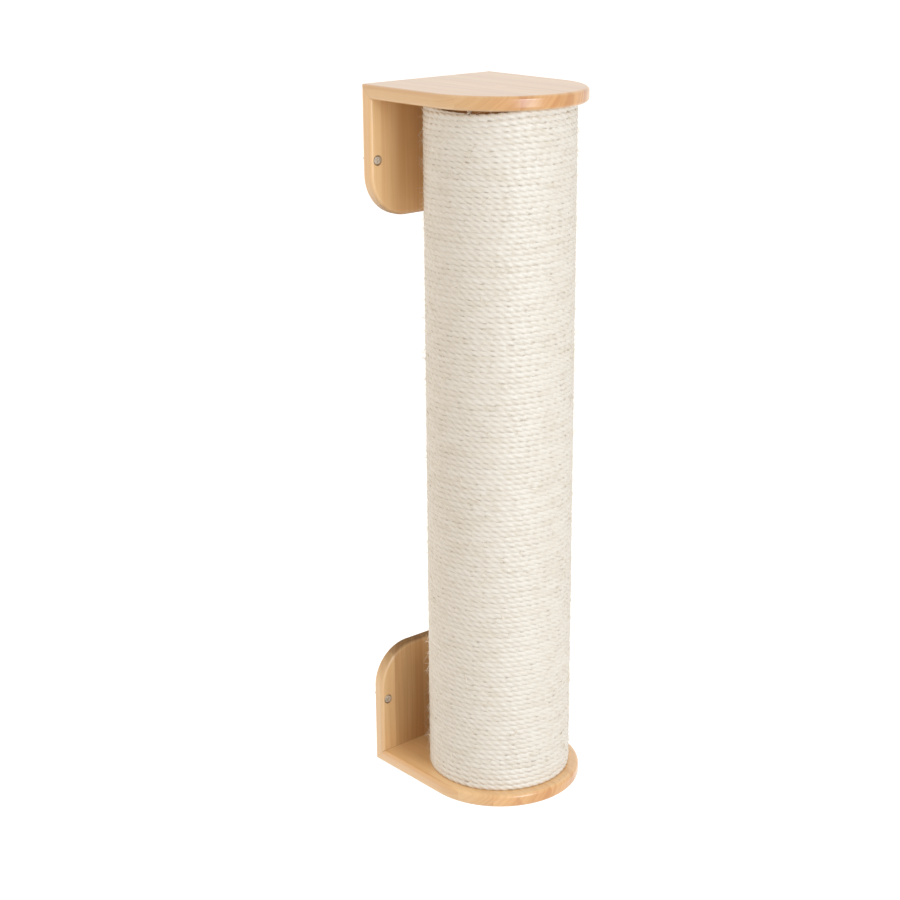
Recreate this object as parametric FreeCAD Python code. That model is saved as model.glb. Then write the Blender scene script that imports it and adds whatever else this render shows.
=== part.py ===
import FreeCAD, Part
import math
import os

# A cat scratching post held between two wooden wall brackets, in millimetres.
# The wall is the plane Y = 0 and the post stands in front of it, towards -Y.
# The origin lies on the wall, midway between the four wall screws, with +Z up.
# The upper end is modelled, and half a turn about the Y axis gives the lower end.

Vector = FreeCAD.Vector

# Brackets: a shelf board and a wall board that meet in a mitre
board_thickness = 15.0
board_width = 183.0
clear_height = 752.0        # between the two shelves
wall_board_height = 141.0   # from the shelf's outer face to the free end
wall_corner_radius = 47.0
edge_radius = 4.0
post_distance = 115.5       # post axis from the wall

# Hidden dowels across each mitre
mitre_dowel_diameter = 6.0
mitre_dowel_count = 3
mitre_dowel_spacing = 60.0
mitre_dowel_shift = 2.5     # from the middle of the mitre towards the inner corner
mitre_dowel_cover = 1.5     # wood left over the dowel's end
dowel_clearance = 0.1
dowel_end_clearance = 0.4

# Wall screws
screw_diameter = 4.5        # outside the thread, which starts at the wall
screw_neck_diameter = 3.4
screw_head_diameter = 8.4
screw_rim = 0.4
screw_sink = 0.8
screw_length = 25.0
screw_tip = 4.0
screw_edge_distance = 9.0
screw_drop = 79.0           # from the shelf's outer face
screw_clearance = 0.2
screw_slot_width = 1.1
screw_slot_span = 4.4
screw_slot_depth = 1.6

# Core of the post: a paper tube with a wooden plug in each end
core_diameter = 149.0
core_wall = 5.0
plug_thickness = 18.0
plug_clearance = 0.15
nail_diameter = 2.0
nail_head_diameter = 4.5
nail_head_height = 1.0
nail_length = 18.0
nail_tip = 3.0
nail_sink = 0.2
nail_clearance = 0.1
nail_count = 6
nail_start_angle = 30.0

# Flat-headed bolt and tee nut that hold the post to each shelf, and a flush wooden cover over the bolt
bolt_diameter = 8.0
bolt_head_diameter = 15.0
bolt_head_height = 2.5
bolt_head_chamfer = 0.6
bolt_stickout = 3.4
bolt_cover_thickness = 3.0
bolt_cover_clearance = 0.1
bolt_clearance = 0.25
bolt_head_clearance = 0.5
hex_key_size = 5.0
hex_key_depth = 4.0
tee_barrel_diameter = 10.0
tee_barrel_length = 11.0
tee_flange_diameter = 22.0
tee_flange_thickness = 1.6
tee_clearance = 0.1
thread_clearance = 0.05
prong_count = 4
prong_width = 3.5
prong_length = 7.0

# Two dowels at each end that stop the post from turning
locating_dowel_diameter = 8.0
locating_dowel_offset = 42.0
locating_dowel_in_shelf = 9.0
locating_dowel_in_plug = 12.0

# Rope winding
rope_pitch = 5.85
turn_gap = 0.5              # between neighbouring turns
rope_seat = 0.2             # between the rope and the tube
shelf_gap = 0.3             # between the end turns and the shelves
end_turns = 12
rope_end_azimuth = -164.0   # where the upper end of the rope is cut
staple_crown = 9.0
staple_wire_width = 1.2
staple_wire_thickness = 0.9
staple_sink = 1.5           # under the rope's outer fibres
staple_setback = 40.0       # from the cut end of the turns to the staple's middle
staple_cover = 1.0          # tube wall left inside the staple's points
staple_clearance = 0.1

# Worked out from the values above
half_height = clear_height / 2 + board_thickness
half_width = board_width / 2
shelf_face = clear_height / 2
screw_reach = screw_length - board_thickness + screw_sink   # behind the board
core_radius = core_diameter / 2
core_bore_radius = core_radius - core_wall
rope_diameter = rope_pitch - turn_gap
rope_path_radius = core_radius + rope_seat + rope_diameter / 2
rope_crest_radius = core_radius + rope_seat + rope_diameter
rope_top = shelf_face - shelf_gap - rope_diameter / 2
rope_slope = rope_pitch / (2 * math.pi)
bolt_sink = bolt_cover_thickness + bolt_cover_clearance
bolt_recess = bolt_head_height + bolt_sink
bolt_length = board_thickness - bolt_recess + plug_thickness + tee_flange_thickness + bolt_stickout
post_axis = Vector(0, -post_distance, 0)
along_x = Vector(1, 0, 0)
along_y = Vector(0, 1, 0)
along_z = Vector(0, 0, 1)
overshoot = 1.0             # how far a cutting tool runs past the faces that it cuts


def turned_to_lower_end(shape):
    turned = shape.copy()
    turned.rotate(Vector(0, 0, 0), along_y, 180)
    return turned


def around_post(shape, degrees):
    turned = shape.copy()
    turned.rotate(post_axis, along_z, degrees)
    return turned


def prism(points, travel):
    outline = Part.makePolygon(points + points[:1])
    return Part.Face(outline).extrude(travel)


# Boards

def with_rounded_edges(board, sharp):
    radius = min(edge_radius, 0.45 * board_thickness)
    edges = [edge for edge in board.Edges if not sharp(edge)]
    return board.makeFillet(radius, edges)


def mitre_waste(towards_shelf):
    corner = Vector(-half_width - overshoot, overshoot, half_height + overshoot)
    inner = corner - Vector(0, 1, 1) * (board_thickness + 2 * overshoot)
    beside = Vector(corner.x, corner.y, inner.z)
    if towards_shelf:
        beside = Vector(corner.x, inner.y, corner.z)
    return prism([corner, inner, beside], along_x * (board_width + 2 * overshoot))


def shelf_blank():
    back_left = Vector(-half_width, 0, shelf_face)
    side_left = Vector(-half_width, -post_distance, shelf_face)
    front = Vector(0, -post_distance - half_width, shelf_face)
    side_right = Vector(half_width, -post_distance, shelf_face)
    back_right = Vector(half_width, 0, shelf_face)
    outline = Part.Wire([
        Part.makeLine(back_left, side_left),
        Part.Arc(side_left, front, side_right).toShape(),
        Part.makeLine(side_right, back_right),
        Part.makeLine(back_right, back_left),
    ])
    board = Part.Face(outline).extrude(along_z * board_thickness)

    def sharp(edge):
        upright = edge.BoundBox.ZLength > board_thickness / 2
        at_wall = edge.BoundBox.YMin > -edge_radius
        return upright or at_wall

    return with_rounded_edges(board, sharp).cut(mitre_waste(False))


def wall_blank():
    foot = half_height - wall_board_height
    arc_height = foot + wall_corner_radius
    arc_inset = half_width - wall_corner_radius
    diagonal = wall_corner_radius * math.sqrt(0.5)
    left_crown = Vector(-arc_inset - diagonal, 0, arc_height - diagonal)
    right_crown = Vector(arc_inset + diagonal, 0, arc_height - diagonal)
    top_left = Vector(-half_width, 0, half_height)
    side_left = Vector(-half_width, 0, arc_height)
    foot_left = Vector(-arc_inset, 0, foot)
    foot_right = Vector(arc_inset, 0, foot)
    side_right = Vector(half_width, 0, arc_height)
    top_right = Vector(half_width, 0, half_height)
    outline = Part.Wire([
        Part.makeLine(top_left, side_left),
        Part.Arc(side_left, left_crown, foot_left).toShape(),
        Part.makeLine(foot_left, foot_right),
        Part.Arc(foot_right, right_crown, side_right).toShape(),
        Part.makeLine(side_right, top_right),
        Part.makeLine(top_right, top_left),
    ])
    board = Part.Face(outline).extrude(-along_y * board_thickness)

    def sharp(edge):
        across = edge.BoundBox.YLength > board_thickness / 2
        at_top = edge.BoundBox.ZMin > half_height - edge_radius
        return across or at_top

    return with_rounded_edges(board, sharp).cut(mitre_waste(True))


# Dowels across the mitre

def mitre_dowels(clearance, end_clearance):
    radius = mitre_dowel_diameter / 2
    inset = board_thickness / 2 + mitre_dowel_shift * math.sqrt(0.5)
    half_length = (inset - mitre_dowel_cover) * math.sqrt(2) - radius + end_clearance
    direction = Vector(0, -1, 1).normalize()
    dowels = []
    for index in range(mitre_dowel_count):
        offset = (index - (mitre_dowel_count - 1) / 2) * mitre_dowel_spacing
        middle = Vector(offset, -inset, half_height - inset)
        start = middle - direction * half_length
        dowels.append(Part.makeCylinder(radius + clearance, 2 * half_length, start, direction))
    return Part.makeCompound(dowels)


# Wall screws

def turned_about_y(points):
    outline = Part.makePolygon(points + points[:1])
    return Part.Face(outline).revolve(Vector(0, 0, 0), along_y, 360)


def wall_screw():
    head_radius = screw_head_diameter / 2
    neck_radius = screw_neck_diameter / 2
    thread_radius = screw_diameter / 2
    face = -board_thickness + screw_sink
    shoulder = face + screw_rim + head_radius - neck_radius
    screw = turned_about_y([
        Vector(0, face, 0),
        Vector(head_radius, face, 0),
        Vector(head_radius, face + screw_rim, 0),
        Vector(neck_radius, shoulder, 0),
        Vector(neck_radius, 0, 0),
        Vector(thread_radius, 0, 0),
        Vector(thread_radius, screw_reach - screw_tip, 0),
        Vector(0, screw_reach, 0),
    ])
    for span_x, span_z in ((screw_slot_span, screw_slot_width), (screw_slot_width, screw_slot_span)):
        corner = Vector(-span_x / 2, face - overshoot, -span_z / 2)
        screw = screw.cut(Part.makeBox(span_x, screw_slot_depth + overshoot, span_z, corner))
    return screw


def screw_hole():
    head_radius = screw_head_diameter / 2 + screw_clearance
    hole_radius = screw_diameter / 2 + screw_clearance
    mouth = -board_thickness - overshoot
    seat = -board_thickness + screw_sink + screw_rim
    return turned_about_y([
        Vector(0, mouth, 0),
        Vector(head_radius + seat - mouth, mouth, 0),
        Vector(hole_radius, seat + head_radius - hole_radius, 0),
        Vector(hole_radius, overshoot, 0),
        Vector(0, overshoot, 0),
    ])


def at_screw_places(shape):
    copies = []
    for side in (-1, 1):
        copy = shape.copy()
        copy.translate(Vector(side * (half_width - screw_edge_distance), 0, half_height - screw_drop))
        copies.append(copy)
    return Part.makeCompound(copies)


# Bolt, its cover, tee nut and locating dowels

def post_bolt():
    head_top = post_axis + along_z * (half_height - bolt_sink)
    seat = head_top - along_z * bolt_head_height
    head = Part.makeCylinder(bolt_head_diameter / 2, bolt_head_height, seat, along_z)
    rim = [edge for edge in head.Edges if edge.BoundBox.ZMin > seat.z + bolt_head_height / 2]
    head = head.makeChamfer(bolt_head_chamfer, rim)
    shank = Part.makeCylinder(bolt_diameter / 2, bolt_length, seat, -along_z)
    corner_radius = hex_key_size / math.sqrt(3)
    corners = []
    for index in range(6):
        angle = index * math.pi / 3
        corners.append(head_top + Vector(math.cos(angle), math.sin(angle), 0) * corner_radius)
    socket = prism(corners, -along_z * hex_key_depth)
    return head.fuse(shank).removeSplitter().cut(socket)


def bolt_hole():
    mouth = post_axis + along_z * (half_height + overshoot)
    recess_radius = bolt_head_diameter / 2 + bolt_head_clearance
    recess = Part.makeCylinder(recess_radius, bolt_recess + overshoot, mouth, -along_z)
    depth = board_thickness + 2 * overshoot
    return recess.fuse(Part.makeCylinder(bolt_diameter / 2 + bolt_clearance, depth, mouth, -along_z))


def bolt_cover():
    seat = post_axis + along_z * (half_height - bolt_cover_thickness)
    radius = bolt_head_diameter / 2 + bolt_head_clearance - bolt_cover_clearance
    return Part.makeCylinder(radius, bolt_cover_thickness, seat, along_z)


def tee_prongs(clearance):
    inner_face = shelf_face - plug_thickness
    width = prong_width + 2 * clearance
    outer = tee_flange_diameter / 2
    inner = outer - tee_flange_thickness - clearance
    prongs = []
    for index in range(prong_count):
        corner = post_axis + Vector(inner, -width / 2, inner_face)
        prong = Part.makeBox(outer - inner + clearance, width, prong_length + clearance, corner)
        prongs.append(around_post(prong, index * 360 / prong_count))
    return prongs


def tee_nut():
    inner_face = post_axis + along_z * (shelf_face - plug_thickness)
    flange_face = inner_face - along_z * tee_flange_thickness
    nut = Part.makeCylinder(tee_flange_diameter / 2, tee_flange_thickness, flange_face, along_z)
    barrel_length = tee_barrel_length + tee_flange_thickness
    nut = nut.fuse(Part.makeCylinder(tee_barrel_diameter / 2, barrel_length, flange_face, along_z))
    round_bar = Part.makeCylinder(tee_flange_diameter / 2, prong_length, inner_face, along_z)
    for prong in tee_prongs(0):
        nut = nut.fuse(prong.common(round_bar))
    bore_radius = bolt_diameter / 2 + thread_clearance
    bore_start = flange_face - along_z * overshoot
    bore = Part.makeCylinder(bore_radius, barrel_length + 2 * overshoot, bore_start, along_z)
    return nut.removeSplitter().cut(bore)


def locating_dowels(clearance, end_clearance):
    radius = locating_dowel_diameter / 2 + clearance
    length = locating_dowel_in_shelf + locating_dowel_in_plug + 2 * end_clearance
    foot = shelf_face - locating_dowel_in_plug - end_clearance
    dowels = []
    for side in (-1, 1):
        start = post_axis + Vector(side * locating_dowel_offset, 0, foot)
        dowels.append(Part.makeCylinder(radius, length, start, along_z))
    return Part.makeCompound(dowels)


# Tube, plugs and nails

def plug_nail(clearance):
    face = core_radius - nail_sink
    head_radius = nail_head_diameter / 2 + clearance
    shank_radius = nail_diameter / 2 + clearance
    mouth = overshoot if clearance else 0
    neck = face - nail_head_height - clearance
    point = face - nail_length - clearance
    points = [
        Vector(face + mouth, 0, 0),
        Vector(face + mouth, 0, head_radius),
        Vector(neck, 0, head_radius),
        Vector(neck, 0, shank_radius),
        Vector(point + nail_tip, 0, shank_radius),
        Vector(point, 0, 0),
    ]
    profile = Part.Face(Part.makePolygon(points + points[:1]))
    nail = profile.revolve(Vector(0, 0, 0), along_x, 360)
    nail.translate(post_axis + along_z * (shelf_face - plug_thickness / 2))
    return nail


def plug_nails(clearance):
    first = plug_nail(clearance)
    angles = [nail_start_angle + index * 360 / nail_count for index in range(nail_count)]
    return Part.makeCompound([around_post(first, angle) for angle in angles])


def end_plug():
    inner_face = post_axis + along_z * (shelf_face - plug_thickness)
    plug = Part.makeCylinder(core_bore_radius - plug_clearance, plug_thickness, inner_face, along_z)
    hole_radius = tee_barrel_diameter / 2 + tee_clearance
    start = inner_face - along_z * overshoot
    plug = plug.cut(Part.makeCylinder(hole_radius, plug_thickness + 2 * overshoot, start, along_z))
    for prong in tee_prongs(tee_clearance):
        plug = plug.cut(prong)
    plug = plug.cut(locating_dowels(dowel_clearance, dowel_end_clearance))
    return plug.cut(plug_nails(nail_clearance))


def core_tube(upper_slots, lower_slots):
    foot = post_axis - along_z * shelf_face
    tube = Part.makeCylinder(core_radius, clear_height, foot, along_z)
    bore_start = foot - along_z * overshoot
    tube = tube.cut(Part.makeCylinder(core_bore_radius, clear_height + 2 * overshoot, bore_start, along_z))
    tube = tube.cut(plug_nails(nail_clearance))
    tube = tube.cut(turned_to_lower_end(plug_nails(nail_clearance)))
    return tube.cut(upper_slots).cut(lower_slots)


# Rope winding: real turns at both ends and a plain sleeve for the turns between

def rope_point(azimuth, height):
    reach = Vector(math.cos(azimuth), math.sin(azimuth), 0) * rope_path_radius
    return post_axis + reach + along_z * height


def rope_tangent(azimuth):
    around = Vector(-math.sin(azimuth), math.cos(azimuth), 0) * rope_path_radius
    return (around + along_z * rope_slope).normalize()


def tangent_arc(start, corner, end):
    chord_middle = (start + end) * 0.5
    half_chord = (end - start).Length / 2
    rise = corner - chord_middle
    half_turn = math.atan2(rise.Length, half_chord)
    crown = chord_middle + rise.normalize() * (half_chord * math.tan(half_turn / 2))
    return Part.Arc(start, crown, end).toShape()


def biarc(start, start_tangent, end, end_tangent):
    span = end - start
    turn = start_tangent + end_tangent
    spread = 4 - turn.dot(turn)
    lean = span.dot(turn)
    reach = (math.sqrt(lean * lean + spread * span.dot(span)) - lean) / spread
    first = start + start_tangent * reach
    second = end - end_tangent * reach
    middle = (first + second) * 0.5
    return [tangent_arc(start, first, middle), tangent_arc(middle, second, end)]


def least_gap(edges):
    samples_per_edge = 6
    points = []
    for edge in edges:
        step = (edge.LastParameter - edge.FirstParameter) / samples_per_edge
        for index in range(samples_per_edge):
            points.append(edge.valueAt(edge.FirstParameter + index * step))
    half_turn = 4 * samples_per_edge
    least = 2 * rope_path_radius
    for index, point in enumerate(points):
        for other in points[index + half_turn:index + 3 * half_turn]:
            least = min(least, (point - other).Length)
    return least - rope_diameter


def rope_turns(start_azimuth, start_height):
    quarter = math.pi / 2
    stations = []
    for index in range(4 * end_turns + 1):
        azimuth = start_azimuth + index * quarter
        height = start_height + rope_slope * index * quarter
        stations.append((rope_point(azimuth, height), rope_tangent(azimuth)))
    first, first_tangent = stations[0]
    last, last_tangent = stations[-1]
    entry = first - first_tangent * rope_diameter
    edges = [Part.makeLine(entry, first)]
    for (start, start_tangent), (end, end_tangent) in zip(stations, stations[1:]):
        edges += biarc(start, start_tangent, end, end_tangent)
    edges.append(Part.makeLine(last, last + last_tangent * rope_diameter))
    print("rope turns: least gap to itself", round(least_gap(edges), 3), "mm")
    upward = (along_z - first_tangent * along_z.dot(first_tangent)).normalize()
    outward = first_tangent.cross(upward)
    radius = rope_diameter / 2
    ring = Part.Circle(entry + upward * radius, entry + outward * radius, entry - upward * radius)
    return Part.Wire(edges).makePipeShell([Part.Wire([ring.toShape()])], True, False)


def rope_sleeve(half_length):
    foot = post_axis - along_z * half_length
    outer = Part.makeCylinder(rope_crest_radius, 2 * half_length, foot, along_z)
    bore_start = foot - along_z * overshoot
    bore = Part.makeCylinder(core_radius + rope_seat, 2 * (half_length + overshoot), bore_start, along_z)
    return outer.cut(bore)


def rope_staple(azimuth, height, clearance, mouth):
    crest = rope_crest_radius - staple_sink
    leg = rope_crest_radius - staple_sink - core_radius + core_wall - staple_cover
    width = staple_wire_width + 2 * clearance
    span = staple_crown + 2 * clearance
    thickness = staple_wire_thickness + 2 * clearance
    low = -width / 2 + height
    crown_corner = Vector(crest - staple_wire_thickness - clearance, -span / 2, low)
    staple = Part.makeBox(thickness + mouth, span, width, crown_corner)
    for leg_side in (-span / 2, span / 2 - thickness):
        leg_corner = Vector(crest - leg - clearance, leg_side, low)
        staple = staple.fuse(Part.makeBox(leg, thickness, width, leg_corner))
    staple = staple.removeSplitter()
    staple.translate(post_axis)
    return around_post(staple, math.degrees(azimuth))


def build_pieces():
    mitre_holes = mitre_dowels(dowel_clearance, dowel_end_clearance)
    screw_holes = at_screw_places(screw_hole())
    locating_holes = locating_dowels(dowel_clearance, dowel_end_clearance)
    shelf = shelf_blank().cut(mitre_holes).cut(bolt_hole()).cut(locating_holes)
    wall_board = wall_blank().cut(mitre_holes).cut(screw_holes)

    # The rope climbs anticlockwise from its lower end to its upper end.
    upper_end = math.radians(rope_end_azimuth)
    climb = 2 * math.pi * end_turns
    lower_end = upper_end - 2 * rope_top / rope_slope
    setback = staple_setback / rope_path_radius
    setback_rise = rope_slope * setback
    upper_place = (upper_end - setback, rope_top - setback_rise)
    lower_place = (lower_end + setback, -rope_top + setback_rise)
    upper_slots = rope_staple(*upper_place, staple_clearance, 2 * staple_sink)
    lower_slots = rope_staple(*lower_place, staple_clearance, 2 * staple_sink)
    turns_height = rope_pitch * end_turns
    sleeve_half = rope_top - turns_height - rope_diameter / 2 - turn_gap

    pieces = {
        "top_shelf_board": shelf,
        "upper_wall_board": wall_board,
        "upper_mitre_dowels": mitre_dowels(0, 0),
        "upper_wall_screws": at_screw_places(wall_screw()),
        "upper_post_bolt": post_bolt(),
        "upper_bolt_cover": bolt_cover(),
        "upper_tee_nut": tee_nut(),
        "upper_locating_dowels": locating_dowels(0, 0),
        "upper_end_plug": end_plug(),
        "upper_plug_nails": plug_nails(0),
    }
    lower_names = {name: name.replace("upper_", "lower_").replace("top_", "bottom_") for name in pieces}
    for name, lower_name in lower_names.items():
        pieces[lower_name] = turned_to_lower_end(pieces[name])
    pieces["core_tube"] = core_tube(upper_slots, lower_slots)
    pieces["rope_upper_turns"] = rope_turns(upper_end - climb, rope_top - turns_height).cut(upper_slots)
    pieces["rope_middle_turns"] = rope_sleeve(sleeve_half)
    pieces["rope_lower_turns"] = rope_turns(lower_end, -rope_top).cut(lower_slots)
    pieces["upper_rope_staple"] = rope_staple(*upper_place, 0, 0)
    pieces["lower_rope_staple"] = rope_staple(*lower_place, 0, 0)
    return pieces


os.makedirs("parts", exist_ok=True)
for node, piece in build_pieces().items():
    piece.exportStep("parts/" + node + ".step")
    volume = round(piece.Volume / 1000, 2)
    print(node, len(piece.Solids), "solids, volume", volume, "cm3, valid", piece.isValid())
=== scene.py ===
import bmesh
import bpy
import math
from mathutils import Matrix, Vector


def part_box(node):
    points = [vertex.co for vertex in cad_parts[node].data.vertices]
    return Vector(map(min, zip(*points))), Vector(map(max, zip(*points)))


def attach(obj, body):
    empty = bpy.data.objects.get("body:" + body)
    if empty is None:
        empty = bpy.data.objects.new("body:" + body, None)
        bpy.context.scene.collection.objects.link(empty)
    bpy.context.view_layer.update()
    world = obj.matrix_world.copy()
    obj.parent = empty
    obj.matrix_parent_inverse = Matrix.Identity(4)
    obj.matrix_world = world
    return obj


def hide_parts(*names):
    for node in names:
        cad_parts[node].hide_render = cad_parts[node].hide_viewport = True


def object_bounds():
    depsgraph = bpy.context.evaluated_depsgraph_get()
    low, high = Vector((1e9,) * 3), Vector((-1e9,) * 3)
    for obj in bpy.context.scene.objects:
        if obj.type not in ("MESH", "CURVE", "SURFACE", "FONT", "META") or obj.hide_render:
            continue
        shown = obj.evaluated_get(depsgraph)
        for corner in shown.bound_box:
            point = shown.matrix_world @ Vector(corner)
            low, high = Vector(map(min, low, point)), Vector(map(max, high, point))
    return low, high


# The looks of a rope-wound scratching post on two wooden wall brackets, in metres.
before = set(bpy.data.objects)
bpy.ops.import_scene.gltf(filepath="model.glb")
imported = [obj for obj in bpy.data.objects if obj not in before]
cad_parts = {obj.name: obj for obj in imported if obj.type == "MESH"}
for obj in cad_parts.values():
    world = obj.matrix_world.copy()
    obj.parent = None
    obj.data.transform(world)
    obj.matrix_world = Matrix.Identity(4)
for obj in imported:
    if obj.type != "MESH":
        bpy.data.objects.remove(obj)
cadLow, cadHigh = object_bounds()
mm = 0.001
fullTurn = 2 * math.pi

tubeLow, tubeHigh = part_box("core_tube")
postX = (tubeLow.x + tubeHigh.x) / 2
postY = (tubeLow.y + tubeHigh.y) / 2
tubeRadius = (tubeHigh.y - tubeLow.y) / 2
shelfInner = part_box("top_shelf_board")[0].z
screwHeadRadius = 4.2 * mm
screwLow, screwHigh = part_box("upper_wall_screws")
screwPlace = Vector((screwHigh.x - screwHeadRadius, 0.0, (screwLow.z + screwHigh.z) / 2))


# Small helpers for node trees, meshes and objects
def addNode(tree, kind, inputs=None, **settings):
    node = tree.nodes.new(kind)
    for name, value in settings.items():
        setattr(node, name, value)
    for key, value in (inputs or {}).items():
        if isinstance(value, bpy.types.NodeSocket):
            tree.links.new(value, node.inputs[key])
        else:
            node.inputs[key].default_value = value
    return node


def calc(tree, operation, *values):
    node = addNode(tree, "ShaderNodeMath", dict(enumerate(values)), operation=operation)
    return node.outputs[0]


def vectorCalc(tree, operation, *values):
    node = addNode(tree, "ShaderNodeVectorMath", dict(enumerate(values)), operation=operation)
    return node.outputs["Value" if operation == "LENGTH" else "Vector"]


def combine(tree, x, y, z):
    return addNode(tree, "ShaderNodeCombineXYZ", {0: x, 1: y, 2: z}).outputs[0]


def separate(tree, vector):
    return addNode(tree, "ShaderNodeSeparateXYZ", {0: vector}).outputs


def stretch(tree, vector, amount):
    return vectorCalc(tree, "MULTIPLY", vector, combine(tree, amount, amount, amount))


def polar(tree, radius, angle):
    x = calc(tree, "MULTIPLY", radius, calc(tree, "COSINE", angle))
    y = calc(tree, "MULTIPLY", radius, calc(tree, "SINE", angle))
    return x, y


def mixColours(tree, factor, first, second, blend="MIX"):
    inputs = {0: factor}
    for index, colour in ((6, first), (7, second)):
        inputs[index] = colour if isinstance(colour, bpy.types.NodeSocket) else (*colour, 1)
    return addNode(tree, "ShaderNodeMix", inputs, data_type="RGBA", blend_type=blend).outputs[2]


def shade(tree, colour, tone):
    return mixColours(tree, 1.0, colour, combine(tree, tone, tone, tone), "MULTIPLY")


def spread(tree, value, fromLow, fromHigh, toLow=0.0, toHigh=1.0):
    inputs = {0: value, 1: fromLow, 2: fromHigh, 3: toLow, 4: toHigh}
    return addNode(tree, "ShaderNodeMapRange", inputs, interpolation_type="SMOOTHSTEP").outputs[0]


def noiseAt(tree, vector, scale, detail, **inputs):
    values = {"Vector": vector, "Scale": scale, "Detail": detail, **inputs}
    return addNode(tree, "ShaderNodeTexNoise", values).outputs["Fac"]


def swing(tree, place):
    return calc(tree, "SUBTRACT", noiseAt(tree, place, 1.0, 1.0), 0.5)


def addBump(tree, shader, height, strength, distance):
    inputs = {"Strength": strength, "Distance": distance, "Height": height}
    bump = addNode(tree, "ShaderNodeBump", inputs)
    tree.links.new(bump.outputs[0], shader.inputs["Normal"])


def objectPlace(tree):
    return addNode(tree, "ShaderNodeTexCoord").outputs["Object"]


def surfaceValue(tree, name, output="Fac"):
    return addNode(tree, "ShaderNodeAttribute", attribute_name=name).outputs[output]


def newMaterial(name, fixed):
    material = bpy.data.materials.new(name)
    material.use_nodes = True
    tree = material.node_tree
    shader = tree.nodes["Principled BSDF"]
    for key, value in fixed.items():
        shader.inputs[key].default_value = value
    return material, tree, shader


def newObject(name, data):
    item = bpy.data.objects.new(name, data)
    bpy.context.scene.collection.objects.link(item)
    return item


def meshFrom(shape, name):
    mesh = bpy.data.meshes.new(name)
    shape.to_mesh(mesh)
    shape.free()
    return mesh


# Edge-glued pine strips under a clear satin lacquer, with the grain along one axis
pineLook = {
    "pale": (0.85, 0.555, 0.275),
    "late": (0.66, 0.345, 0.12),
    "red": (0.60, 0.24, 0.08),
    "postShade": (0.43, 0.2, 0.06),
    "countersinkShade": (0.36, 0.205, 0.085),
    "shelfEnd": (0.88, 0.71, 0.50),
    "wallEnd": (0.33, 0.28, 0.15),
    "wallEndDull": 0.95,          # the wall boards' cut ends have soaked up the lacquer
    "wallEndRough": 0.45,
    "boardThickness": 15 * mm,
    "stripWidth": 21 * mm,
    "toneSpan": 0.05,             # from strip to strip
    "ringSlant": 1.0,
    "leastSlant": 0.2,
    "treeSpan": 50.0,
    "sways": 14.0,                # slow bends of the rings in each metre, and how wide they are
    "sway": 9 * mm,
    "swayDrawn": 0.25,
    "streaks": (330.0, 0.02, 3.0),    # in each metre, length along the grain, and detail
    "bands": (60.0, 0.025, 2.0),
    "pores": (1400.0, 0.07, 1.0),
    "streakSpan": (0.35, 0.75),
    "bandSpan": (0.3, 0.75),
    "poreSpan": (0.66, 0.78),
    "streakShare": 0.3,
    "bandShare": 0.5,
    "endRings": 0.9,              # how much stronger the rings show on the cut ends
    "poreTone": 0.08,
    "redSpan": (-0.1, 0.16),      # across a strip, from its joint
    "redLean": 0.35,
    "redChance": (0.35, 0.65),
    "redOnFaces": 0.25,
    "postShadeWidth": 90 * mm,        # painted shade of the post, in streaky strips which some boards have left of the middle
    "postShadePlace": -26.5 * mm,
    "postShadeEdge": 1.5 * mm,
    "postShadeStreaks": (0.3, 0.7, 0.6, 1.0),
    "countersinkRim": (5.3 * mm, 5.9 * mm),
    "countersinkFloor": (-8 * mm, -7 * mm),
    "mitreLine": (0.1 * mm, 0.5 * mm),
    "mitreTone": 0.75,
    "roughness": 0.4,
    "streakRoughness": 0.16,
    "coat": 1.0,
    "coatIor": 1.6,
    "coatRoughness": 0.3,
    "poreBump": 0.8,
    "bump": (0.1, 0.3 * mm),
}
pineBoards = {
    "topPine": {"across": "X", "through": "Z", "along": "Y", "stripShift": 0.143, "seed": 11,
                "redShare": 0.9, "postShadeShare": 0.0, "tone": 0.94},
    "bottomPine": {"across": "X", "through": "Z", "along": "Y", "stripShift": 0.143, "seed": 11,
                   "redShare": 0.6, "postShadeShare": 0.0, "tone": 0.99},
    "upperPine": {"across": "X", "through": "Y", "along": "Z", "stripShift": 0.667, "seed": 4,
                  "redShare": 0.35, "postShadeShare": 0.0, "tone": 1.02},
    "lowerPine": {"across": "X", "through": "Y", "along": "Z", "stripShift": 0.4, "seed": 9,
                  "redShare": 0.25, "postShadeShare": 0.42, "tone": 0.9},
    "coverPine": {"across": "Y", "through": "Z", "along": "X", "stripShift": 0.5, "seed": 7,
                  "redShare": 0.75, "postShadeShare": 0.0, "tone": 1.0},
}


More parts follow.
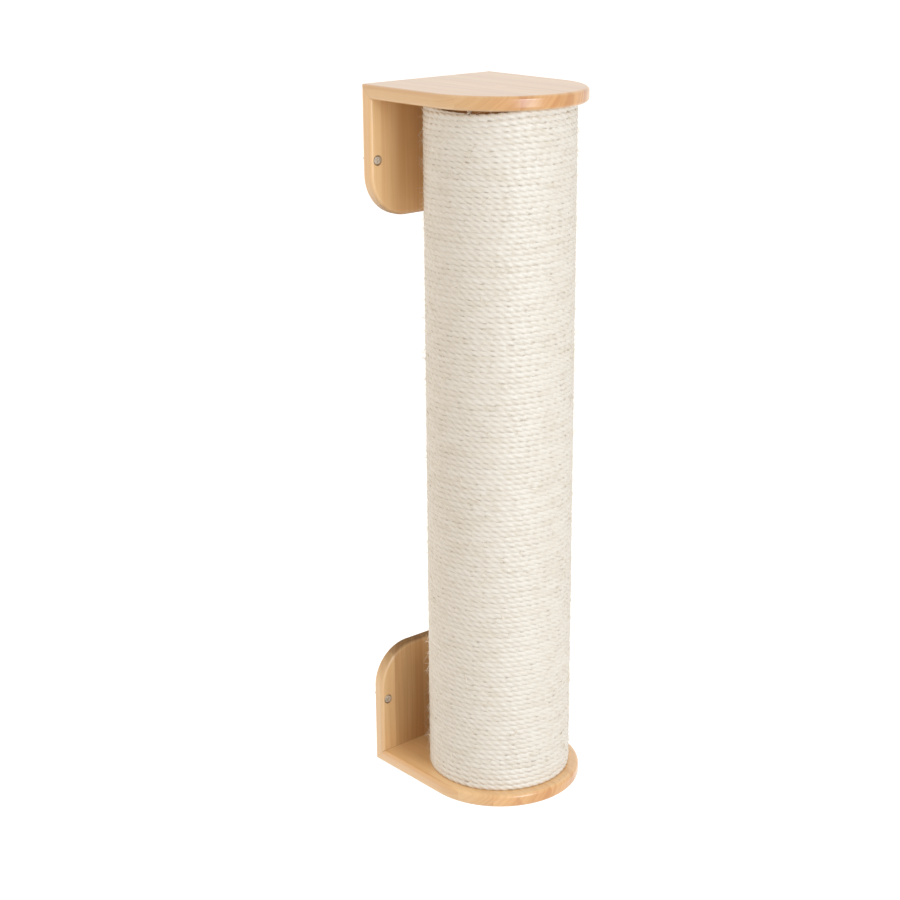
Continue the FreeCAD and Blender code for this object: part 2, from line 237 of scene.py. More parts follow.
def pineMaterial(name):
    look = pineLook
    board = pineBoards[name]
    onWall = board["through"] == "Y"
    material, tree, shader = newMaterial(name, {
        "Coat Weight": look["coat"], "Coat Roughness": look["coatRoughness"], "Coat IOR": look["coatIor"],
    })
    place = separate(tree, objectPlace(tree))
    acrossWay, throughWay, alongWay = (place[board[key]] for key in ("across", "through", "along"))

    # Each glued strip has its own tone, its own slant of the rings and its own place in the tree.
    stripPlace = calc(tree, "MULTIPLY_ADD", acrossWay, 1 / look["stripWidth"], board["stripShift"])
    stripIndex = calc(tree, "ADD", calc(tree, "FLOOR", stripPlace), board["seed"])
    chanceNode = addNode(tree, "ShaderNodeTexWhiteNoise", {"W": stripIndex}, noise_dimensions="1D")
    chance = separate(tree, chanceNode.outputs["Color"])
    slant = calc(tree, "MULTIPLY_ADD", chance["X"], -look["ringSlant"], -look["leastSlant"])
    slowPlace = combine(tree, acrossWay, throughWay, calc(tree, "MULTIPLY", alongWay, look["swayDrawn"]))
    sway = calc(tree, "MULTIPLY", noiseAt(tree, slowPlace, look["sways"], 2.0), look["sway"])
    ringWay = calc(tree, "ADD", calc(tree, "MULTIPLY_ADD", throughWay, slant, acrossWay), sway)
    treePlace = calc(tree, "MULTIPLY", chance["Y"], look["treeSpan"])

    def grain(kind):
        perMetre, drawn, detail = look[kind]
        point = combine(tree, calc(tree, "MULTIPLY", ringWay, perMetre), treePlace,
                        calc(tree, "MULTIPLY", alongWay, perMetre * drawn))
        return noiseAt(tree, point, 1.0, detail)

    streak = grain("streaks")
    band = grain("bands")
    pore = spread(tree, grain("pores"), *look["poreSpan"])
    facing = separate(tree, addNode(tree, "ShaderNodeNewGeometry").outputs["Normal"])[board["along"]]
    endShare = calc(tree, "POWER", calc(tree, "ABSOLUTE", facing), 2.0)
    lateShare = calc(tree, "MULTIPLY", spread(tree, band, *look["bandSpan"]), look["bandShare"])
    streakLate = spread(tree, streak, *look["streakSpan"])
    lateShare = calc(tree, "MULTIPLY_ADD", streakLate, look["streakShare"], lateShare)
    endGain = calc(tree, "MULTIPLY_ADD", endShare, look["endRings"], 1.0)
    lateShare = calc(tree, "MULTIPLY", lateShare, endGain)
    colour = mixColours(tree, lateShare, look["pale"], look["late"])

    # Beside some joints the strip starts in a red band of late wood, which leans with the rings.
    innerFace = 0.0 if onWall else shelfInner
    depth = calc(tree, "SUBTRACT", calc(tree, "ABSOLUTE", throughWay), innerFace)
    lean = calc(tree, "MULTIPLY", depth, look["redLean"] / look["boardThickness"])
    fromJoint = calc(tree, "SUBTRACT", calc(tree, "FRACT", stripPlace), lean)
    reddened = spread(tree, fromJoint, *look["redSpan"], board["redShare"], 0.0)
    reddened = calc(tree, "MULTIPLY", reddened, spread(tree, chance["Y"], *look["redChance"]))
    redFace = calc(tree, "MULTIPLY_ADD", endShare, 1 - look["redOnFaces"], look["redOnFaces"])
    colour = mixColours(tree, calc(tree, "MULTIPLY", reddened, redFace), colour, look["red"])
    # Painted shade of the post darkens streaky strips left of the middle of the board.
    fromPostShade = calc(tree, "ABSOLUTE", calc(tree, "SUBTRACT", acrossWay, look["postShadePlace"]))
    postShadeHalf = look["postShadeWidth"] / 2
    postShade = spread(tree, fromPostShade, postShadeHalf, postShadeHalf + look["postShadeEdge"], board["postShadeShare"], 0.0)
    postShade = calc(tree, "MULTIPLY", postShade, spread(tree, streak, *look["postShadeStreaks"]))
    colour = mixColours(tree, postShade, colour, look["postShade"])
    leastTone = board["tone"] - look["toneSpan"] / 2
    tone = calc(tree, "MULTIPLY_ADD", chance["Z"], look["toneSpan"], leastTone)
    tone = calc(tree, "MULTIPLY", tone, calc(tree, "MULTIPLY_ADD", pore, -look["poreTone"], 1.0))
    colour = shade(tree, colour, tone)

    # Painted shade darkens the countersinks of the wall screws.
    if onWall:
        aside = calc(tree, "SUBTRACT", calc(tree, "ABSOLUTE", acrossWay), screwPlace.x)
        above = calc(tree, "SUBTRACT", calc(tree, "ABSOLUTE", alongWay), screwPlace.z)
        fromScrew = vectorCalc(tree, "LENGTH", combine(tree, aside, above, 0.0))
        countersinkShadeMask = spread(tree, fromScrew, *look["countersinkRim"], 1.0, 0.0)
        inFront = spread(tree, throughWay, *look["countersinkFloor"], 1.0, 0.0)
        colour = mixColours(tree, calc(tree, "MULTIPLY", countersinkShadeMask, inFront), colour, look["countersinkShade"])

    # The shelves' cut ends of the grain are deeper in colour; the wall boards' ends, facing up and down, are
    # painted much darker. A fine line marks each mitre.
    endColour = mixColours(tree, 1.0, colour, look["wallEnd" if onWall else "shelfEnd"], "MULTIPLY")
    colour = mixColours(tree, endShare, colour, endColour)
    mitrePlace = calc(tree, "SUBTRACT", calc(tree, "ABSOLUTE", place["Z"]), place["Y"])
    mitreGap = calc(tree, "ABSOLUTE", calc(tree, "SUBTRACT", mitrePlace, cadHigh.z))
    colour = shade(tree, colour, spread(tree, mitreGap, *look["mitreLine"], look["mitreTone"], 1.0))
    tree.links.new(colour, shader.inputs["Base Color"])

    leastRoughness = look["roughness"] - look["streakRoughness"] / 2
    roughness = calc(tree, "MULTIPLY_ADD", streak, look["streakRoughness"], leastRoughness)
    if onWall:
        roughness = calc(tree, "MULTIPLY_ADD", endShare, look["wallEndRough"], roughness)
        coat = calc(tree, "MULTIPLY_ADD", endShare, -look["wallEndDull"] * look["coat"], look["coat"])
        tree.links.new(coat, shader.inputs["Coat Weight"])
    tree.links.new(roughness, shader.inputs["Roughness"])
    grainHeight = calc(tree, "MULTIPLY_ADD", pore, -look["poreBump"], streak)
    addBump(tree, shader, grainHeight, *look["bump"])
    return material


# Natural sisal, whose fibres lie along the rope, with painted shade in the grooves between its strands
sisalLook = {
    "pale": (0.785, 0.735, 0.66),
    "straw": (0.685, 0.61, 0.50),
    "loosePale": (0.95, 0.875, 0.76),
    "looseStraw": (0.86, 0.765, 0.63),
    "fibres": 700.0,              # in each metre, and below their length along the rope
    "fibreDrawn": 0.03,
    "fibreSpan": (0.42, 0.72, 0.0, 0.6),
    "patches": 16.0,
    "patchSpan": (0.4, 0.8, 0.0, 0.4),
    "grooveShade": (0.60, 0.50, 0.375),
    "grooveShadeSpan": (0.7, 0.95),
    "grooveShadeShare": 0.25,
    "gapShade": (0.34, 0.27, 0.19),  # painted shade of dark gaps left here and there between two turns
    "gapShadeSpots": 100.0,              # in each metre of rope, before most are dropped
    "gapShadeSpan": (0.58, 0.68),
    "gapShadeEdge": (1.7 * mm, 2.7 * mm),
    "gapShadeShare": 0.6,
    "roughness": 0.48,
    "specular": 1.0,
    "looseSpecular": 0.2,
    "sheen": 0.05,
    "sheenRoughness": 0.6,
    "lustre": 0.4,
    "lustreRoughness": 0.55,
    "bump": (0.5, 0.25 * mm),
}


def sisalMaterial(name, woundRope):
    look = sisalLook
    material, tree, shader = newMaterial(name, {
        "Roughness": look["roughness"],
        "Sheen Weight": look["sheen"], "Sheen Roughness": look["sheenRoughness"],
        "Specular IOR Level": look["specular" if woundRope else "looseSpecular"],
    })
    if woundRope:
        shader.inputs["Coat Weight"].default_value = look["lustre"]
        shader.inputs["Coat Roughness"].default_value = look["lustreRoughness"]
        flow = surfaceValue(tree, "fibreFlow", "Vector")
    else:
        flow = objectPlace(tree)
    flowParts = separate(tree, flow)
    alongFibre = calc(tree, "MULTIPLY", flowParts["Z"], look["fibreDrawn"] if woundRope else 1.0)
    fibrePlace = combine(tree, flowParts["X"], flowParts["Y"], alongFibre)
    fibre = noiseAt(tree, fibrePlace, look["fibres"], 4.0, Roughness=0.7)
    patch = noiseAt(tree, flow, look["patches"], 3.0)
    fibreStraw = spread(tree, fibre, *look["fibreSpan"])
    strawShare = calc(tree, "ADD", fibreStraw, spread(tree, patch, *look["patchSpan"]))
    paleName, strawName = ("pale", "straw") if woundRope else ("loosePale", "looseStraw")
    colour = mixColours(tree, strawShare, look[paleName], look[strawName])
    if woundRope:
        # Painted shade: the grooves between the strands are darkened in colour.
        crest = surfaceValue(tree, "strandCrest")
        grooveShadeShare = spread(tree, crest, *look["grooveShadeSpan"], look["grooveShadeShare"], 0.0)
        colour = mixColours(tree, grooveShadeShare, colour, look["grooveShade"])
        # Painted shade of the gaps between two turns, here and there along the rope.
        alongRope = combine(tree, 0.0, 0.0, flowParts["Z"])
        gap = noiseAt(tree, alongRope, look["gapShadeSpots"], 1.0)
        gapShade = spread(tree, gap, *look["gapShadeSpan"], 0.0, look["gapShadeShare"])
        atEdge = spread(tree, surfaceValue(tree, "turnEdge"), *look["gapShadeEdge"])
        colour = mixColours(tree, calc(tree, "MULTIPLY", gapShade, atEdge), colour, look["gapShade"])
        addBump(tree, shader, fibre, *look["bump"])
    tree.links.new(colour, shader.inputs["Base Color"])
    return material


# Zinc-plated steel: fine scuffs and dull patches
zincLook = {
    "bright": (0.84, 0.77, 0.66),
    "dull": (0.66, 0.6, 0.51),
    "patches": {"screwZinc": 240.0, "boltZinc": 180.0},    # in each metre
    "patchSpan": (0.4, 0.75),
    "scuffs": 6,                  # for each patch
    "roughness": 0.4,
    "scuffRoughness": 0.25,
    "bump": (0.15, 0.05 * mm),
}


def zincMaterial(name):
    look = zincLook
    material, tree, shader = newMaterial(name, {"Metallic": 1.0})
    place = objectPlace(tree)
    patches = look["patches"][name]
    dullness = spread(tree, noiseAt(tree, place, patches, 4.0), *look["patchSpan"])
    tree.links.new(mixColours(tree, dullness, look["bright"], look["dull"]), shader.inputs["Base Color"])
    scuff = noiseAt(tree, place, patches * look["scuffs"], 2.0)
    roughness = calc(tree, "MULTIPLY_ADD", scuff, look["scuffRoughness"], look["roughness"])
    tree.links.new(roughness, shader.inputs["Roughness"])
    addBump(tree, shader, scuff, *look["bump"])
    return material


# Brown paper of the core tube, wound in a slanted strip with a butt seam
paperLook = {
    "brown": (0.33, 0.155, 0.052),
    "seam": (0.19, 0.09, 0.035),
    "seamWidth": 0.01,            # as a share of the strip
    "stripLead": 160 * mm,
    "pulp": 300.0,                # flecks in each metre
    "pulpTone": (0.2, 0.8, 0.82, 1.12),
    "roughness": 0.88,
    "bump": (0.2, 0.2 * mm),
}


def paperMaterial(name):
    look = paperLook
    material, tree, shader = newMaterial(name, {"Roughness": look["roughness"]})
    place = objectPlace(tree)
    parts = separate(tree, place)
    angle = calc(tree, "ARCTAN2", calc(tree, "SUBTRACT", parts["Y"], postY), parts["X"])
    climbed = calc(tree, "DIVIDE", parts["Z"], look["stripLead"])
    lead = calc(tree, "MULTIPLY_ADD", angle, -1 / fullTurn, climbed)
    fromSeam = calc(tree, "ABSOLUTE", calc(tree, "SUBTRACT", calc(tree, "FRACT", lead), 0.5))
    seamShare = spread(tree, fromSeam, 0.0, look["seamWidth"], 1.0, 0.0)
    colour = mixColours(tree, seamShare, look["brown"], look["seam"])
    pulp = noiseAt(tree, place, look["pulp"], 5.0)
    colour = shade(tree, colour, spread(tree, pulp, *look["pulpTone"]))
    tree.links.new(colour, shader.inputs["Base Color"])
    addBump(tree, shader, pulp, *look["bump"])
    return material


# Raw wood of the hidden dowels and plugs: rings about the post's axis and long streaks
rawWoodLook = {
    "woods": {
        "dowelBeech": {"pale": (0.66, 0.45, 0.27), "dark": (0.5, 0.32, 0.17), "drawn": 0.05},
        "plugWood": {"pale": (0.6, 0.42, 0.24), "dark": (0.46, 0.3, 0.15), "drawn": 0.3},
    },
    "streaks": 700.0,             # in each metre
    "streakShare": 0.6,
    "ringWidth": 3 * mm,
    "ringBend": 0.6,
    "roughness": 0.65,
    "bump": (0.15, 0.2 * mm),
}


def rawWoodMaterial(name):
    look = rawWoodLook
    wood = look["woods"][name]
    material, tree, shader = newMaterial(name, {"Roughness": look["roughness"]})
    parts = separate(tree, objectPlace(tree))
    fromAxis = combine(tree, parts["X"], calc(tree, "SUBTRACT", parts["Y"], postY), 0.0)
    rings = calc(tree, "DIVIDE", vectorCalc(tree, "LENGTH", fromAxis), look["ringWidth"])
    drawn = combine(tree, parts["X"], parts["Y"], calc(tree, "MULTIPLY", parts["Z"], wood["drawn"]))
    streak = noiseAt(tree, drawn, look["streaks"], 4.0)
    ring = calc(tree, "FRACT", calc(tree, "MULTIPLY_ADD", streak, look["ringBend"], rings))
    streakPart = calc(tree, "MULTIPLY", streak, look["streakShare"])
    share = calc(tree, "MULTIPLY_ADD", ring, 1 - look["streakShare"], streakPart)
    tree.links.new(mixColours(tree, share, wood["pale"], wood["dark"]), shader.inputs["Base Color"])
    addBump(tree, shader, streak, *look["bump"])
    return material


pine = {name: pineMaterial(name) for name in pineBoards}
ropeSisal = sisalMaterial("ropeSisal", woundRope=True)
looseSisal = sisalMaterial("looseSisal", woundRope=False)
screwZinc = zincMaterial("screwZinc")
boltZinc = zincMaterial("boltZinc")
tubePaper = paperMaterial("tubePaper")
dowelBeech = rawWoodMaterial("dowelBeech")
plugWood = rawWoodMaterial("plugWood")
print("materials made")

cadMaterials = {
    "top_shelf_board": pine["topPine"], "bottom_shelf_board": pine["bottomPine"],
    "upper_wall_board": pine["upperPine"], "lower_wall_board": pine["lowerPine"],
    "core_tube": tubePaper,
}
endMaterials = {
    "mitre_dowels": dowelBeech, "locating_dowels": dowelBeech, "end_plug": plugWood,
    "bolt_cover": pine["coverPine"], "post_bolt": boltZinc, "tee_nut": boltZinc,
    "plug_nails": screwZinc, "rope_staple": screwZinc,
}
for endName in ("upper", "lower"):
    for pieceName, material in endMaterials.items():
        cadMaterials[endName + "_" + pieceName] = material
for nodeName, material in cadMaterials.items():
    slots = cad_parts[nodeName].data.materials
    slots.clear()
    slots.append(material)
print("CAD pieces dressed:", len(cadMaterials))


# Geometry Nodes: each tree has named inputs, and its result becomes a plain mesh
def newTree(name, inputs):
    tree = bpy.data.node_groups.new(name, "GeometryNodeTree")
    tree.interface.new_socket("Geometry", in_out="INPUT", socket_type="NodeSocketGeometry")
    for inputName, kind in inputs.items():
        tree.interface.new_socket(inputName, in_out="INPUT", socket_type="NodeSocket" + kind)
    tree.interface.new_socket("Geometry", in_out="OUTPUT", socket_type="NodeSocketGeometry")
    return tree, addNode(tree, "NodeGroupInput").outputs


def closeTree(tree, geometry, material):
    realized = addNode(tree, "GeometryNodeRealizeInstances", {"Geometry": geometry}).outputs[0]
    painted = addNode(tree, "GeometryNodeSetMaterial", {"Geometry": realized, "Material": material})
    addNode(tree, "NodeGroupOutput", {0: painted.outputs[0]})


def keepValue(tree, geometry, name, value, kind="FLOAT"):
    inputs = {"Geometry": geometry, "Name": name, "Value": value}
    node = addNode(tree, "GeometryNodeStoreNamedAttribute", inputs, data_type=kind, domain="POINT")
    return node.outputs[0]


def keptValue(tree, name, kind="FLOAT"):
    return addNode(tree, "GeometryNodeInputNamedAttribute", {"Name": name}, data_type=kind).outputs[0]


def pointPlace(tree):
    return addNode(tree, "GeometryNodeInputPosition").outputs[0]


def setPlace(tree, geometry, place, key="Position"):
    return addNode(tree, "GeometryNodeSetPosition", {"Geometry": geometry, key: place}).outputs[0]


def straightPath(tree, count):
    line = addNode(tree, "GeometryNodeCurvePrimitiveLine").outputs[0]
    path = addNode(tree, "GeometryNodeResampleCurve", {"Curve": line, "Count": count}, mode="COUNT")
    factor = addNode(tree, "GeometryNodeSplineParameter").outputs["Factor"]
    return path.outputs[0], factor


def sweepProfile(tree, path, profile, scale):
    inputs = {"Curve": path, "Profile Curve": profile, "Scale": scale, "Fill Caps": True}
    return addNode(tree, "GeometryNodeCurveToMesh", inputs).outputs[0]


def growPiece(name, tree, values, carrier=None):
    piece = newObject(name, carrier or bpy.data.meshes.new(name))
    modifier = piece.modifiers.new("growth", "NODES")
    modifier.node_group = tree
    for item in tree.interface.items_tree:
        if item.in_out == "INPUT" and item.name in values:
            modifier[item.identifier] = values[item.name]
    depsgraph = bpy.context.evaluated_depsgraph_get()
    settled = piece.evaluated_get(depsgraph)
    mesh = bpy.data.meshes.new_from_object(settled, preserve_all_data_layers=True, depsgraph=depsgraph)
    piece.modifiers.clear()
    piece.data = mesh
    mesh.name = name
    print(name, "has", sum(len(face.vertices) - 2 for face in mesh.polygons), "triangles")
    return piece


def finishPiece(piece, slot, *nodes):
    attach(piece, "root")
    if nodes:
        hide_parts(*nodes)


# Rope: three strands laid right-handed, wound round the tube in one right-handed helix
ropeFacts = {
    "pitch": 5.85 * mm,
    "cadRadius": 2.675 * mm,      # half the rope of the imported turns
    "radius": 4.4 * mm,           # along the post, pressed into its neighbours
    "flatten": 0.64,              # pulled flat towards the tube
    "seat": 0.05 * mm,
    "endAzimuth": -157.0,         # the cut upper end, in degrees
    "endTurns": 12,
    "middleBands": 5,
    "lay": 28.5 * mm,
    "ringsPerLay": 12,
    "sides": 18,
    "strandShare": 0.67,          # strand radius as a share of the rope's
    "turnWander": 1.1 * mm,
    "radialWander": 0.6 * mm,
    "twistWander": 7.0,
    "thicknessWander": 0.22,
    "strandWander": 1.4 * mm,     # how far single strands stand proud or lie low
    "strandWaves": 45.0,
    "endLift": 4.9 * mm,          # how far the end turns are pushed towards the shelf, beside the cut
    "liftFade": 5.0,              # in turns
    "liftRise": (0.0, 0.9),       # shares of a turn
    "liftFall": (0.86, 1.0),
    "taper": 85 * mm,             # length over which each cut end thins out
    "taperTo": 0.3,
    "taperSink": 0.75,
    "taperDrawn": 0.6,
    "shelfGap": 0.15 * mm,
}
ropeWaves = {                     # slow waves in each metre of rope, and where each noise starts
    "Turn Wander": (17.0, 2.1), "Radial Wander": (21.0, 7.3),
    "Twist Wander": (5.0, 4.6), "Thickness Wander": (55.0, 9.7),
}
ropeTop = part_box("rope_upper_turns")[1].z - ropeFacts["cadRadius"]
ropeSlope = ropeFacts["pitch"] / fullTurn
ropeHalfDepth = ropeFacts["radius"] * ropeFacts["flatten"]
ropePathRadius = tubeRadius + ropeFacts["seat"] + ropeHalfDepth
ropeHighAngle = math.radians(ropeFacts["endAzimuth"])
ropeLowAngle = ropeHighAngle - 2 * ropeTop / ropeSlope
ropeLimit = shelfInner - ropeFacts["shelfGap"]


def strandProfile(tree, sockets):
    circle = addNode(tree, "GeometryNodeCurvePrimitiveCircle",
                     {"Resolution": ropeFacts["sides"], "Radius": 1.0})
    place = pointPlace(tree)
    parts = separate(tree, place)
    angle = calc(tree, "ARCTAN2", parts["Y"], parts["X"])
    fromStrand = calc(tree, "PINGPONG", angle, fullTurn / 6)
    strand = sockets["Strand Share"]
    offset = calc(tree, "SUBTRACT", 1.0, strand)
    ahead, aside = polar(tree, offset, fromStrand)
    inner = calc(tree, "SUBTRACT", calc(tree, "POWER", strand, 2.0), calc(tree, "POWER", aside, 2.0))
    reach = calc(tree, "ADD", ahead, calc(tree, "SQRT", inner))
    lobes = keepValue(tree, circle.outputs["Curve"], "strandCrest", reach)
    sized = calc(tree, "MULTIPLY", reach, sockets["Rope Radius"])
    lobes = setPlace(tree, lobes, stretch(tree, place, sized))
    return keepValue(tree, lobes, "strandPlace", place, "FLOAT_VECTOR")


def ropeTree():
    facts = ropeFacts
    tree, sockets = newTree("ropeWinding", {
        "From Angle": "Float", "To Angle": "Float", "Low Angle": "Float", "High Angle": "Float",
        "Low Height": "Float", "Rise Per Radian": "Float", "Post Axis": "Vector", "Path Radius": "Float",
        "Rings": "Int", "Rope Radius": "Float", "Flatten": "Float", "Strand Share": "Float",
        "Lay": "Float", "Turn Wander": "Float", "Radial Wander": "Float", "Twist Wander": "Float",
        "Thickness Wander": "Float", "Strand Wander": "Float", "End Lift": "Float", "Lift Fade": "Float",
        "Taper Length": "Float", "Taper To": "Float", "Height Limit": "Float", "Material": "Material",
    })
    path, factor = straightPath(tree, sockets["Rings"])
    sweep = calc(tree, "SUBTRACT", sockets["To Angle"], sockets["From Angle"])
    angle = calc(tree, "MULTIPLY_ADD", factor, sweep, sockets["From Angle"])
    climbed = calc(tree, "SUBTRACT", angle, sockets["Low Angle"])
    left = calc(tree, "SUBTRACT", sockets["High Angle"], angle)
    run = calc(tree, "MULTIPLY", climbed, sockets["Path Radius"])
    halfDepth = calc(tree, "MULTIPLY", sockets["Rope Radius"], sockets["Flatten"])

    # Slow noise along the run keeps the turns from lying like machine thread.
    def wander(name):
        perMetre, start = ropeWaves[name]
        place = combine(tree, calc(tree, "MULTIPLY", run, perMetre), start, 0.0)
        return calc(tree, "MULTIPLY", swing(tree, place), sockets[name])

    # The end turns are pushed against the shelf, and each cut end thins out and sinks beside its neighbour.
    def endShift(fromEnd):
        fade = calc(tree, "DIVIDE", fromEnd, calc(tree, "MULTIPLY", sockets["Lift Fade"], -fullTurn))
        turnShare = calc(tree, "FRACT", calc(tree, "DIVIDE", fromEnd, fullTurn))
        rise = spread(tree, turnShare, *facts["liftRise"])
        wave = calc(tree, "MULTIPLY", rise, spread(tree, turnShare, *facts["liftFall"], 1.0, 0.0))
        crest = calc(tree, "MULTIPLY", wave, sockets["End Lift"])
        lift = calc(tree, "MULTIPLY", calc(tree, "EXPONENT", fade), crest)
        distance = calc(tree, "MULTIPLY", fromEnd, sockets["Path Radius"])
        fullness = spread(tree, distance, 0.0, sockets["Taper Length"], sockets["Taper To"], 1.0)
        thinned = calc(tree, "MULTIPLY", calc(tree, "SUBTRACT", 1.0, fullness), sockets["Rope Radius"])
        sink = calc(tree, "MULTIPLY", thinned, facts["taperSink"])
        return calc(tree, "SUBTRACT", lift, sink), fullness

    upperShift, upperFullness = endShift(left)
    lowerShift, lowerFullness = endShift(climbed)
    fullness = calc(tree, "MULTIPLY", upperFullness, lowerFullness)
    mostDrawn = calc(tree, "MULTIPLY", halfDepth, facts["taperDrawn"])
    drawnIn = calc(tree, "MULTIPLY", calc(tree, "SUBTRACT", fullness, 1.0), mostDrawn)
    reach = calc(tree, "ADD", sockets["Path Radius"], wander("Radial Wander"))
    reach = calc(tree, "ADD", reach, drawnIn)
    height = calc(tree, "MULTIPLY_ADD", climbed, sockets["Rise Per Radian"], sockets["Low Height"])
    height = calc(tree, "ADD", height, wander("Turn Wander"))
    height = calc(tree, "ADD", height, calc(tree, "SUBTRACT", upperShift, lowerShift))
    around = combine(tree, *polar(tree, reach, angle), height)
    twist = calc(tree, "DIVIDE", calc(tree, "MULTIPLY", run, fullTurn), sockets["Lay"])
    twist = calc(tree, "ADD", twist, wander("Twist Wander"))
    thickness = calc(tree, "ADD", wander("Thickness Wander"), 1.0)
    thickness = calc(tree, "MULTIPLY", thickness, fullness)

    # Each value is stored on the straight line first, because the run changes once the line is bent.
    kept = {"ropeTwist": twist, "ropeRun": run, "ropeThickness": thickness, "ropeHeight": height}
    for name, value in kept.items():
        path = keepValue(tree, path, name, value)
    path = setPlace(tree, path, vectorCalc(tree, "ADD", around, sockets["Post Axis"]))
    path = addNode(tree, "GeometryNodeSetCurveNormal", {"Curve": path}, mode="Z_UP").outputs[0]
    tilt = keptValue(tree, "ropeTwist")
    path = addNode(tree, "GeometryNodeSetCurveTilt", {"Curve": path, "Tilt": tilt}).outputs[0]
    skin = sweepProfile(tree, path, strandProfile(tree, sockets), keptValue(tree, "ropeThickness"))

    # Single strands stand proud or lie low for a few centimetres at a time.
    strandPlace = keptValue(tree, "strandPlace", "FLOAT_VECTOR")
    alongStrand = calc(tree, "MULTIPLY", keptValue(tree, "ropeRun"), facts["strandWaves"])
    strandPoint = vectorCalc(tree, "ADD", strandPlace, combine(tree, 0.0, 0.0, alongStrand))
    proudness = calc(tree, "MULTIPLY", swing(tree, strandPoint), sockets["Strand Wander"])
    outward = addNode(tree, "GeometryNodeInputNormal").outputs[0]
    skin = setPlace(tree, skin, stretch(tree, outward, proudness), "Offset")

    # Winding tension presses the rope flat against the tube, and the shelves stop the end turns.
    here = vectorCalc(tree, "SUBTRACT", pointPlace(tree), sockets["Post Axis"])
    hereHeight = separate(tree, here)["Z"]
    fromMiddle = calc(tree, "SUBTRACT", hereHeight, keptValue(tree, "ropeHeight"))
    skin = keepValue(tree, skin, "turnEdge", calc(tree, "ABSOLUTE", fromMiddle))
    level = vectorCalc(tree, "MULTIPLY", here, (1.0, 1.0, 0.0))
    proud = calc(tree, "SUBTRACT", vectorCalc(tree, "LENGTH", level), sockets["Path Radius"])
    pressed = calc(tree, "MULTIPLY_ADD", proud, sockets["Flatten"], sockets["Path Radius"])
    outline = vectorCalc(tree, "MULTIPLY", vectorCalc(tree, "NORMALIZE", level),
                         combine(tree, pressed, pressed, 0.0))
    lowest = calc(tree, "MULTIPLY", sockets["Height Limit"], -1.0)
    stopped = calc(tree, "MINIMUM", hereHeight, sockets["Height Limit"])
    stopped = calc(tree, "MAXIMUM", stopped, lowest)
    settled = vectorCalc(tree, "ADD", outline, combine(tree, 0.0, 0.0, stopped))
    skin = setPlace(tree, skin, vectorCalc(tree, "ADD", settled, sockets["Post Axis"]))

    # The fibres run along the rope, so their pattern is turned back by the twist.
    turned = addNode(tree, "ShaderNodeVectorRotate", {
        "Vector": strandPlace, "Angle": keptValue(tree, "ropeTwist"),
    }, rotation_type="Z_AXIS")
    flow = separate(tree, turned.outputs[0])
    flow = combine(tree, calc(tree, "MULTIPLY", flow["X"], sockets["Rope Radius"]),
                   calc(tree, "MULTIPLY", flow["Y"], sockets["Rope Radius"]), keptValue(tree, "ropeRun"))
    skin = keepValue(tree, skin, "fibreFlow", flow, "FLOAT_VECTOR")
    smooth = addNode(tree, "GeometryNodeSetShadeSmooth", {"Geometry": skin, "Shade Smooth": True})
    closeTree(tree, smooth.outputs[0], sockets["Material"])
    return tree


ropeGrowth = ropeTree()


def ropeBand(name, fromAngle, toAngle, node):
    facts = ropeFacts
    length = (toAngle - fromAngle) * ropePathRadius
    piece = growPiece(name, ropeGrowth, {
        "From Angle": fromAngle, "To Angle": toAngle, "Low Angle": ropeLowAngle, "High Angle": ropeHighAngle,
        "Low Height": -ropeTop, "Rise Per Radian": ropeSlope, "Post Axis": (postX, postY, 0.0),
        "Path Radius": ropePathRadius, "Rings": round(length / facts["lay"] * facts["ringsPerLay"]) + 1,
        "Rope Radius": facts["radius"], "Flatten": facts["flatten"], "Strand Share": facts["strandShare"],
        "Lay": facts["lay"], "Turn Wander": facts["turnWander"], "Radial Wander": facts["radialWander"],
        "Twist Wander": facts["twistWander"], "Thickness Wander": facts["thicknessWander"],
        "Strand Wander": facts["strandWander"], "End Lift": facts["endLift"], "Lift Fade": facts["liftFade"],
        "Taper Length": facts["taper"], "Taper To": facts["taperTo"], "Height Limit": ropeLimit,
        "Material": ropeSisal,
    })
    finishPiece(piece, "sisal_rope", node)


endSweep = ropeFacts["endTurns"] * fullTurn
ropeBand("rope_lower_end", ropeLowAngle, ropeLowAngle + endSweep, "rope_lower_turns")
ropeBand("rope_upper_end", ropeHighAngle - endSweep, ropeHighAngle, "rope_upper_turns")
middleStart = ropeLowAngle + endSweep
middleStep = (ropeHighAngle - endSweep - middleStart) / ropeFacts["middleBands"]
for band in range(ropeFacts["middleBands"]):
    start = middleStart + band * middleStep
    ropeBand("rope_middle_" + str(band + 1), start, start + middleStep, "rope_middle_turns")


# Loose fibres: hairs and broken bundles that stand off the winding, and brushes at the two cut ends
fibreFacts = {
    "hairs": {"Density": 7500.0, "Hair Radius": 0.18 * mm, "Shortest": 5 * mm, "Longest": 20 * mm,
              "Least Lift": 0.3 * mm, "Most Lift": 7 * mm, "Seed": 5},
    "bundles": {"Density": 1200.0, "Hair Radius": 0.42 * mm, "Shortest": 4 * mm, "Longest": 10 * mm,
                "Least Lift": 1 * mm, "Most Lift": 5 * mm, "Seed": 8},
    "brush": {"Density": 1500000.0, "Hair Radius": 0.18 * mm, "Shortest": 2 * mm, "Longest": 7 * mm,
              "Least Lift": 0.3 * mm, "Most Lift": 7 * mm, "Seed": 5},
    "sway": 4 * mm,
    "largestTurn": 0.9,           # from the rope's own direction, in radians
    "tipShare": 0.4,              # thickness of a hair's tip
    "rootShare": 0.94,            # where hairs are rooted, as a share of the rope's half depth
    "lowMargin": 4 * mm,
    "highMargin": 6 * mm,
    "sleeveSides": 96,
    "cutShare": 0.4,              # radius of a cut end, as a share of the rope's
    "cutSides": 12,
}


